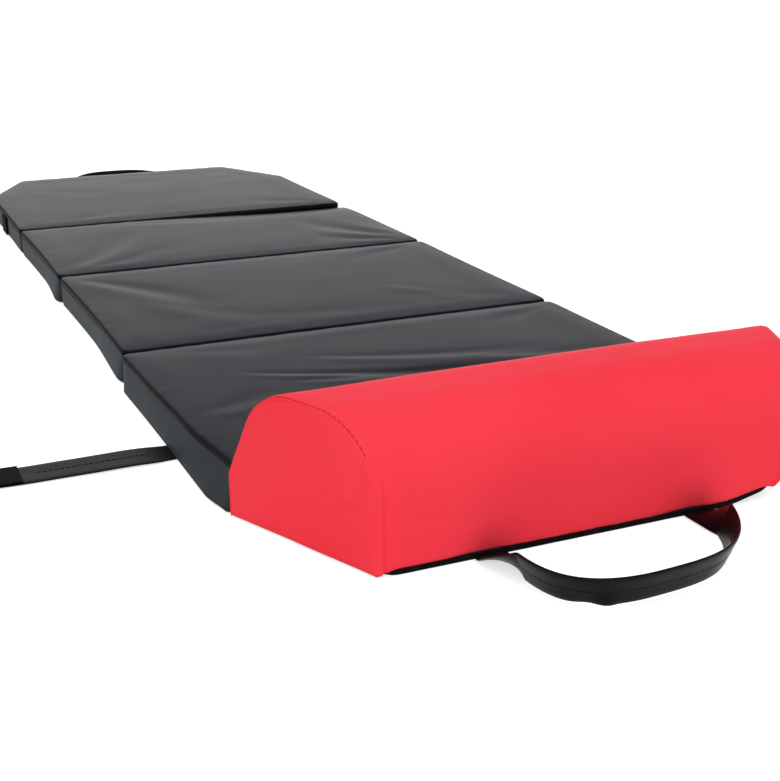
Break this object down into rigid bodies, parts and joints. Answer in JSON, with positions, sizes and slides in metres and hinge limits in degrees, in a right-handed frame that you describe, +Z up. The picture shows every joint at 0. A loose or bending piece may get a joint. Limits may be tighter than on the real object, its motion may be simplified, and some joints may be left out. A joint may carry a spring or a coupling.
{
  "type": "folding creeper mat",
  "caption": "Folding padded creeper mat with boxed vinyl pads joined by cloth hinges, a wedge headrest, carry handle loops and hook-and-loop closing straps.",
  "frame": {"origin": "on the floor, at the middle of the mat's width and of its whole length with both handles", "axes": "+Y along the mat from the headrest to the foot end, +X to the right seen from the headrest, +Z up"},
  "size_m": [0.718, 1.428, 0.0958],
  "materials": {
    "vinyl_top": "satin",
    "vinyl_side": "satin",
    "red_vinyl": "satin",
    "foam": "matte",
    "binding": "satin",
    "handle_band": "satin",
    "hook_and_loop": "matte"
  },
  "bodies": {
    "mat_head": {"shoulder_cover": "vinyl_top", "shoulder_band": "vinyl_side", "shoulder_base": "vinyl_side", "shoulder_foam": "foam", "headrest_cover": "red_vinyl", "headrest_left_end": "red_vinyl", "headrest_right_end": "red_vinyl", "headrest_foam": "foam", "headrest_base": "vinyl_side", "headrest_binding": "binding", "shoulder_hinge_tape": "vinyl_side", "headrest_seam_tape": "vinyl_side", "headrest_handle_tabs": "handle_band", "left_strap_tab": "handle_band", "right_strap_tab": "handle_band"},
    "back_pad": {"back_cover": "vinyl_top", "back_band": "vinyl_side", "back_base": "vinyl_side", "back_foam": "foam", "back_hinge_tape": "vinyl_side"},
    "hip_pad": {"hip_cover": "vinyl_top", "hip_band": "vinyl_side", "hip_base": "vinyl_side", "hip_foam": "foam", "hip_hinge_tape": "vinyl_side"},
    "leg_pad": {"leg_cover": "vinyl_top", "leg_band": "vinyl_side", "leg_base": "vinyl_side", "leg_foam": "foam", "foot_handle_tabs": "handle_band", "left_loop_patch": "hook_and_loop", "right_loop_patch": "hook_and_loop"},
    "headrest_loop": {"headrest_handle": "handle_band"},
    "foot_loop": {"foot_handle": "handle_band"},
    "left_closing_strap": {"left_strap": "handle_band", "left_hook_pad": "hook_and_loop"},
    "right_closing_strap": {"right_strap": "handle_band", "right_hook_pad": "hook_and_loop"}
  },
  "joints": [
    {"name": "shoulder_fold", "type": "hinge", "parent": "mat_head", "child": "back_pad", "pos_m": [0, -0.226, 0.0322], "axis": [1, 0, 0], "range_deg": [0, 180]},
    {"name": "back_fold", "type": "hinge", "parent": "back_pad", "child": "hip_pad", "pos_m": [0, 0.054, -0.0002], "axis": [-1, 0, 0], "range_deg": [0, 180]},
    {"name": "hip_fold", "type": "hinge", "parent": "hip_pad", "child": "leg_pad", "pos_m": [0, 0.294, 0.0322], "axis": [1, 0, 0], "range_deg": [0, 180]},
    {"name": "headrest_handle_swing", "type": "hinge", "parent": "mat_head", "child": "headrest_loop", "pos_m": [0, -0.631, 0.0027], "axis": [1, 0, 0], "range_deg": [-50, 0]},
    {"name": "foot_handle_swing", "type": "hinge", "parent": "leg_pad", "child": "foot_loop", "pos_m": [0, 0.63, 0.0027], "axis": [-1, 0, 0], "range_deg": [-50, 0]},
    {"name": "left_strap_swing", "type": "hinge", "parent": "mat_head", "child": "left_closing_strap", "pos_m": [-0.204, -0.387, 0.001], "axis": [0, 1, 0], "range_deg": [0, 90]},
    {"name": "right_strap_swing", "type": "hinge", "parent": "mat_head", "child": "right_closing_strap", "pos_m": [0.204, -0.387, 0.001], "axis": [0, -1, 0], "range_deg": [0, 90]}
  ],
  "couplings": [
    {"joint": "back_fold", "follows": "shoulder_fold", "ratio": 1},
    {"joint": "hip_fold", "follows": "shoulder_fold", "ratio": 1}
  ]
}
